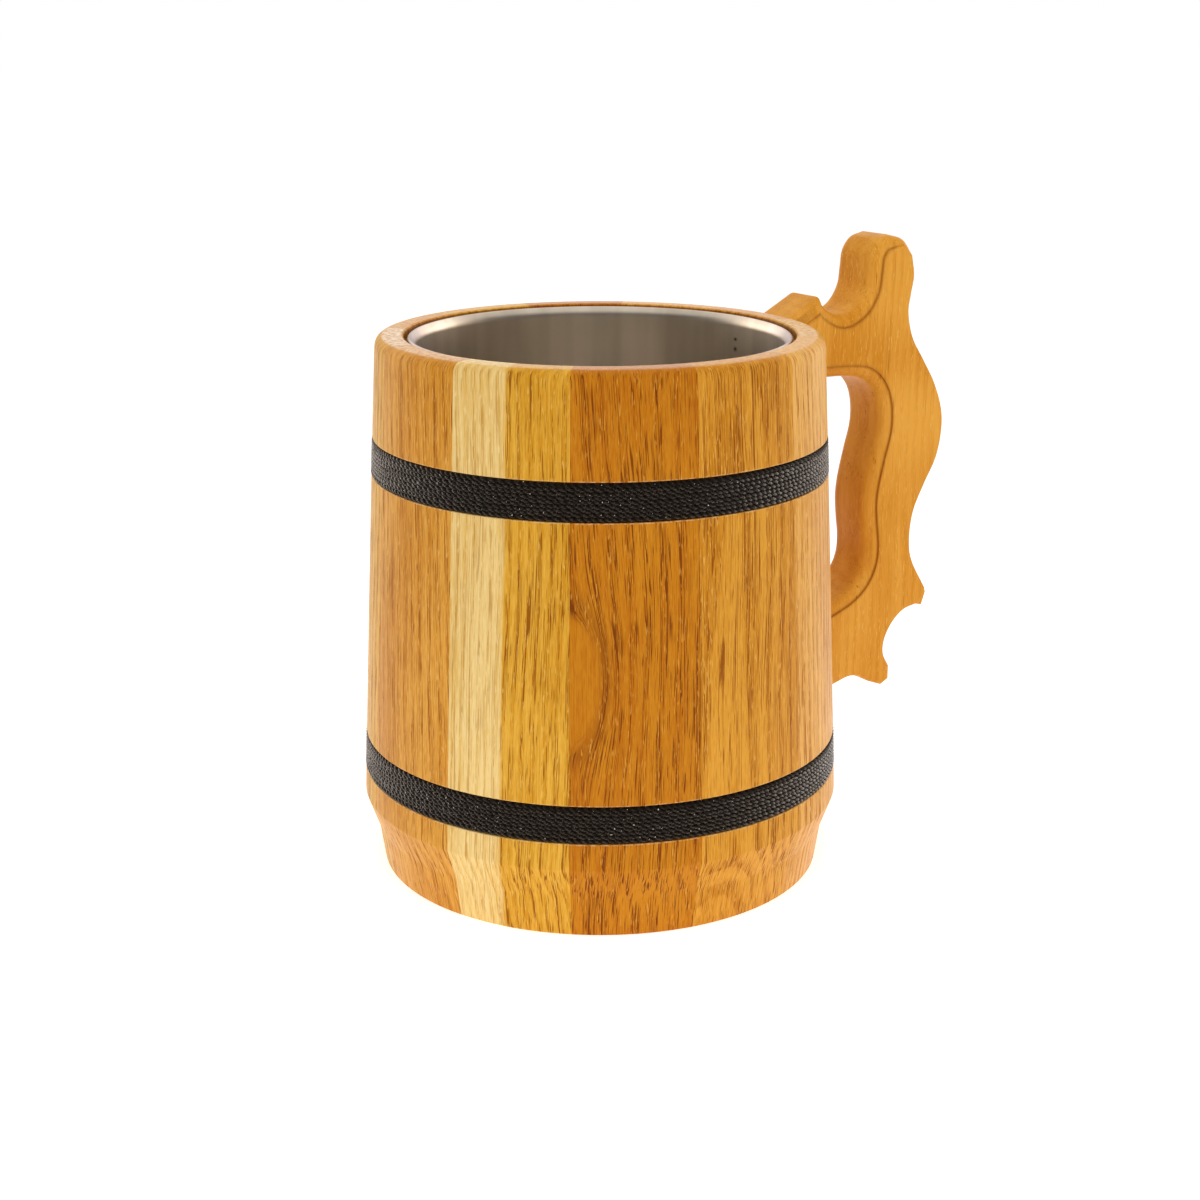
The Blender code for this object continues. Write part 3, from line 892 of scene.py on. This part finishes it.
def make_liner():
    """Drawn cup whose wall flares out into a rolled lip, just below the rim."""
    low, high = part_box("liner")
    edge = LINER_RADIUS - LIP_INSET
    inner = edge - LIP_WIDTH
    outer = inner + LINER_WALL
    lip_low = BARREL_HEIGHT - LIP_SEAT_DEPTH + SEAT_GAP
    corners = [
        (0, low.z + LINER_WALL, 0),
        (inner, low.z + LINER_WALL, LINER_CORNER - LINER_WALL),
        (inner, high.z - LIP_FLARE_HEIGHT, LIP_BEND),
        (inner + LIP_FLARE, high.z, LIP_ROLL),
        (edge, high.z - LIP_DROP, LIP_ROLL),
        (edge, lip_low, LIP_ROLL),
        (outer, lip_low, 0),
        (outer, low.z, LINER_CORNER),
        (0, low.z, 0),
    ]
    cup = turned("steel_liner", rounded(corners))
    weld(cup)
    show_piece(cup, liner_steel(), "liner")


def cord_size(turn):
    """Radius of a two-ply cord at a turn from the middle of a ply, as a share of the largest."""
    beside = PLY_OFFSET * math.sin(turn)
    return PLY_OFFSET * abs(math.cos(turn)) + math.sqrt(PLY_RADIUS**2 - beside**2)


def winding_rows(node):
    """Rings of points along one wound, twisted cord, and how near each lies to the crown of its ply.

    The turns are level, and each climbs by one cord at the handle's side, where the ends are tucked in.
    Crowns count for less in the first and the last turn, which are duller.
    """
    low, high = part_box(node)
    pitch = (high.z - low.z) / CORD_ROWS
    thick = pitch * CORD_FULLNESS
    loop = math.tau * barrel_radius((low.z + high.z) / 2)
    count = int(CORD_ROWS * loop / CORD_STEP)
    rows = []
    crowns = []
    for i in range(count + 1):
        turns = CORD_ROWS * i / count
        to_end = min(turns, CORD_ROWS - turns)
        whole = min(int(turns), CORD_ROWS - 1)
        part = turns - whole
        climb = max(0.0, (part - 1 + CLIMB_SHARE) / CLIMB_SHARE) if whole < CORD_ROWS - 1 else 0.0
        height = low.z + pitch * (whole + 0.5 + climb * climb * (3 - 2 * climb))
        tuck = max(0.0, 1 - to_end / TUCK_SHARE)
        radius = barrel_radius(height) + CORD_PROUD - thick / 2 - tuck * GROOVE_DEPTH / 2
        angle = math.tau * turns
        wander = CORD_WANDER * math.sin(WANDER_WAVES * angle + WANDER_SHIFT * whole)
        spin = -math.tau * i * CORD_STEP / CORD_LAY + wander
        height += CORD_UNEVEN * math.sin(UNEVEN_WAVES * angle + UNEVEN_SHIFT * whole)
        shown = min(1.0, OUTER_CROWN + (1 - OUTER_CROWN) * to_end)
        row = []
        for side in CORD_SIDES:
            a = math.radians(side)
            size = cord_size(a - spin) * thick / 2
            out = radius + size * math.cos(a)
            row.append((out * math.cos(angle), out * math.sin(angle), height + size * math.sin(a)))
            crowns.append(abs(math.cos(a - spin)) * shown)
        rows.append(row)
    return rows, crowns


def make_windings():
    """Two bands of the same cord, smooth all over."""
    cord = black_cord()
    for node in ("upper_cord_winding", "lower_cord_winding"):
        rows, crowns = winding_rows(node)
        band = lofted("twisted_" + node, rows, crown=crowns)
        band.data.shade_smooth()
        show_piece(band, cord, node)


def smooth_run(points):
    """Points along a smooth curve through the given ones, the last one left out."""
    run = [Vector(p) for p in points]
    ends = [2 * run[0] - run[1]] + run + [2 * run[-1] - run[-2]]
    made = []
    for before, start, end, after in zip(ends, ends[1:], ends[2:], ends[3:]):
        for i in range(RUN_STEPS):
            t = i / RUN_STEPS
            slope = (end - before) * t
            bend = (2 * before - 5 * start + 4 * end - after) * t**2
            twist = (3 * start - before - 3 * end + after) * t**3
            made.append(start + (slope + bend + twist) / 2)
    return made


def handle_outline():
    """Outline of the handle, from millimetres off the rim's side and top, and how far each edge is routed."""
    slope_start = (HIDDEN_REACH, -3.2)
    thumb = [
        (9.0, 3.8), (11.0, 0.9), (15.9, -1.2), (20.7, 0.6), (23.6, 4.6), (24.3, 9.0), (24.9, 13.2),
        (27.3, 16.4), (30.9, 17.5),
    ]
    back = [
        (30.9, 17.5), (34.5, 16.2), (37.0, 12.2), (37.9, 7.2), (37.1, 2.4), (36.6, -2.2), (38.3, -8.4),
        (42.1, -14.2), (46.3, -20.7), (49.1, -27.6), (49.6, -33.6), (48.1, -40.7), (44.3, -47.5),
        (41.1, -54.2), (40.2, -61.4), (41.4, -67.4), (46.3, -75.5),
    ]
    upper_cusp = [(46.3, -75.5), (46.6, -76.8), (45.4, -80.2)]
    cove = [(43.3, -79.7), (39.1, -80.6), (35.5, -83.4), (33.1, -87.4), (32.8, -91.4), (34.8, -95.1)]
    lower_cusp = [(34.8, -95.1), (34.8, -98.8)]
    arch = [(32.3, -100.0), (27.9, -98.2), (24.3, -96.2), (21.1, -95.7), (16.7, -96.7)]
    foot = [(15.1, -97.1), (4.7, -93.8), (HIDDEN_REACH, -92.5)]
    opening = [
        (HIDDEN_REACH, -79.5), (6.7, -77.7), (14.6, -75.1), (20.0, -73.0), (23.7, -70.2), (25.9, -66.4),
        (26.5, -61.8), (25.7, -55.5), (25.3, -50.0), (25.9, -44.8), (27.6, -37.8), (29.3, -31.4),
        (29.2, -25.8), (27.5, -21.2), (23.9, -17.9), (18.7, -16.8), (8.7, -16.3), (HIDDEN_REACH, -16.0),
    ]
    routed = [slope_start] + smooth_run(thumb)
    fading = smooth_run(back[:3])
    plain = smooth_run(back[2:]) + upper_cusp + smooth_run(cove) + lower_cusp + smooth_run(arch) + foot
    inner = smooth_run(opening) + opening[-1:]
    shares = [1.0] * len(routed)
    shares += [1 - i / len(fading) for i in range(len(fading))]
    shares += [0.0] * len(plain)
    shares += [1.0] * len(inner)
    places = [
        Vector((RIM_RADIUS + x * HANDLE_STRETCH / MILLIMETRES, BARREL_HEIGHT + z / MILLIMETRES))
        for x, z in routed + fading + plain + inner
    ]
    return places, shares


def inward_offsets(outline):
    """Unit offsets into the wood at each outline point, lengthened at corners."""
    offsets = []
    for before, here, after in neighbours(outline):
        first = (here - before).normalized()
        second = (after - here).normalized()
        normal = Vector((first.y + second.y, -first.x - second.x)).normalized()
        offsets.append(normal / max(LEAST_CORNER, normal.dot(Vector((first.y, -first.x)))))
    return offsets


def edge_section(share):
    """Shoulder and round from the handle's face to its side, as (depth below the face, inset, darkness of the
    step line).
    """
    radius = PLAIN_RADIUS + (ROUTED_RADIUS - PLAIN_RADIUS) * share
    step = PLAIN_STEP + (ROUTED_STEP - PLAIN_STEP) * share
    burn = STEP_LINE_SHARE * max(0.0, 2 * share - 1)
    section = [(0, radius + STEP_LINE_WIDTH, 0), (0, radius * SHOULDER_REACH, SHOULDER_LINE * burn)]
    for i in range(EDGE_STEPS + 1):
        a = math.radians(90 * i / EDGE_STEPS)
        depth = step + radius * (1 - math.cos(a))
        section.append((depth, radius * (1 - math.sin(a)), 0 if i else burn))
    return section


def point_tree(spots):
    """Search tree of points, numbered in order."""
    tree = kdtree.KDTree(len(spots))
    for i, spot in enumerate(spots):
        tree.insert(spot, i)
    tree.balance()
    return tree


def outline_tree(outline):
    """Search tree of points set close along the outline."""
    spots = []
    for start, end in zip(outline, outline[1:] + outline[:1]):
        count = max(1, round((end - start).length / TREE_STEP))
        spots += [start.lerp(end, i / count).to_3d() for i in range(count)]
    return point_tree(spots)


def inset_line(outline, offsets, insets, tree):
    """The outline moved into the wood. Points that would pass a corner's line are drawn onto that corner."""
    moved = [place + offset * inset for place, offset, inset in zip(outline, offsets, insets)]
    corners = [i for i, offset in enumerate(offsets) if offset.length > SHARP_OFFSET]
    made = []
    for i, (spot, inset) in enumerate(zip(moved, insets)):
        corner = min(corners, key=lambda c: abs(c - i))
        passed = tree.find(spot.to_3d())[2] < PASSED_SHARE * inset
        made.append(moved[corner] if passed and abs(corner - i) < CORNER_REACH else spot)
    return made


def handle_rows():
    """Rows of points from the handle's front face over its edge to its side, and the darkness of the step
    line at each point.
    """
    outline, shares = handle_outline()
    offsets = inward_offsets(outline)
    sections = [edge_section(share) for share in shares]
    tree = outline_tree(outline)
    half = HANDLE_THICKNESS / 2
    rows = []
    burns = []
    for level in range(len(sections[0])):
        line = inset_line(outline, offsets, [section[level][1] for section in sections], tree)
        rows.append([(spot.x, section[level][0] - half, spot.y) for spot, section in zip(line, sections)])
        burns += [section[level][2] for section in sections]
    return rows, burns


def barrel_cutter():
    """The barrel's side and what lies inside it, to cut the handle's feet."""
    heights = [BARREL_HEIGHT * i / CUTTER_STEPS for i in range(CUTTER_STEPS + 1)]
    profile = [(CUTTER_INSIDE, -CUTTER_INSIDE)]
    profile += [(barrel_radius(height) + TOUCH_GAP, height) for height in heights]
    profile += [(RIM_RADIUS + TOUCH_GAP, CUTTER_TOP), (CUTTER_INSIDE, CUTTER_TOP)]
    return turned("barrel_side", profile)


def make_handle():
    """Loft of the outline through the routed sections of both faces, its feet cut to the barrel's side."""
    front, burns = handle_rows()
    back = [[(x, -y, z) for x, y, z in row] for row in reversed(front)]
    handle = lofted("oak_handle", front + back)
    weld(handle)
    cut(handle, barrel_cutter())
    smooth(handle.data)
    marks = point_tree([spot for row in front for spot in row])
    burn = handle.data.attributes.new("burn", "FLOAT", "POINT")
    for vertex, holder in zip(handle.data.vertices, burn.data):
        x, y, z = vertex.co
        holder.value = burns[marks.find((x, -abs(y), z))[1]]
    oak = Oak("handle_oak", "oak_gold", HANDLE_GRAIN, HANDLE_SEED, turn=math.pi / 2)
    show_piece(handle, oak.material(), "handle")


def make_screws():
    """The hidden screws keep their solids and get a plated finish."""
    steel = screw_steel()
    for node in ("upper_handle_screw", "lower_handle_screw"):
        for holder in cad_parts[node].material_slots:
            holder.material = steel


def make_camera():
    """Camera on the photograph's side, pitched down at the barrel."""
    data = bpy.data.cameras.new("camera")
    data.lens = CAMERA_LENS
    camera = bpy.data.objects.new("camera", data)
    x, y, _ = TOWARD_CAMERA
    camera.location = (CAMERA_DISTANCE * x, CAMERA_DISTANCE * y, CAMERA_HEIGHT)
    camera.rotation_euler = (math.pi / 2 - CAMERA_PITCH, 0, -CAMERA_TURN)
    bpy.context.scene.collection.objects.link(camera)
    bpy.context.scene.camera = camera


def make_world():
    """White room that lights evenly. Mirrored, it is dark in front and bright above, behind and aside."""
    world = bpy.data.worlds.new("studio")
    g = Graph(world)
    glossy = g.ray("Glossy")
    seen = g.math("MAXIMUM", g.ray("Camera"), g.ray("Transmission"))
    direction = g.coordinates("Generated")
    front = g.measure("DOT_PRODUCT", direction, TOWARD_CAMERA)
    up = g.split(direction)[2]
    side = bell(g, front, SIDE_FRONT, SIDE_SPREAD) * g.ramp(up, *SIDE_TOP)
    above = g.ramp(up, *ABOVE_EDGE, ROOM_DARK, ROOM_ABOVE)
    behind = g.ramp(front, *BACK_EDGE, 0.0, ROOM_BACK)
    mirrored = g.math("MAXIMUM", above, behind) + side * SIDE_GLOW
    level = g.blend(seen, g.blend(glossy, AMBIENT, mirrored), 1.0)
    tint = g.mix(side, ROOM_TINT, SIDE_TINT)
    g.finish(Color=g.mix(glossy, WHITE, tint), Strength=level)
    bpy.context.scene.world = world


def floor_white():
    """Glowing white. Mirrored, it is bright behind the part and dark in front of it."""
    g = material_graph("floor_white")
    glossy = g.ray("Glossy")
    seen = g.math("MAXIMUM", g.math("MAXIMUM", g.ray("Camera"), glossy), g.ray("Transmission"))
    table = g.ramp(g.measure("LENGTH", g.coordinates()), TABLE_REACH, 0.0)
    glow = table * TABLE_GLOW + FLOOR_GLOW + seen * FLOOR_WHITE * (1.0 - table)
    front = g.measure("DOT_PRODUCT", g.coordinates(), TOWARD_CAMERA)
    mirrored = g.ramp(front, 0.0, FLOOR_FRONT, FLOOR_MIRRORED, ROOM_DARK)
    g.finish(Emission_Color=WHITE, Emission_Strength=glow * g.blend(glossy, 1.0, mirrored))
    return g.finish(Base_Color=FLOOR_COLOUR, Roughness=FLOOR_ROUGH, Specular_IOR_Level=0.0)


def make_floor():
    """White floor lit from below around the part, as on a light table. It shows the part's soft shadow."""
    mesh = bpy.data.meshes.new("floor")
    corners = [(-1, -1), (1, -1), (1, 1), (-1, 1)]
    mesh.from_pydata([(x * FLOOR_REACH, y * FLOOR_REACH, 0) for x, y in corners], [], [(0, 1, 2, 3)])
    mesh.materials.append(floor_white())
    floor = bpy.data.objects.new("floor", mesh)
    bpy.context.scene.collection.objects.link(floor)


def add_lamp(name, place, power):
    """Square soft lamp aimed at the middle of the barrel, left out of mirrored light."""
    data = bpy.data.lights.new(name, "AREA")
    data.size = LAMP_SIZE
    data.energy = power
    lamp = bpy.data.objects.new(name, data)
    lamp.location = place
    aim = Vector((0, 0, BARREL_HEIGHT / 2)) - Vector(place)
    lamp.rotation_euler = aim.to_track_quat("-Z", "Y").to_euler()
    lamp.visible_glossy = False
    bpy.context.scene.collection.objects.link(lamp)


def main():
    """Sets the light and the camera, then makes every piece."""
    bpy.context.scene.view_settings.view_transform = "Standard"
    make_camera()
    make_world()
    make_floor()
    for name, place, power in LAMPS:
        add_lamp(name, place, power)
    make_staves()
    make_base()
    make_liner()
    make_windings()
    make_handle()
    make_screws()


main()
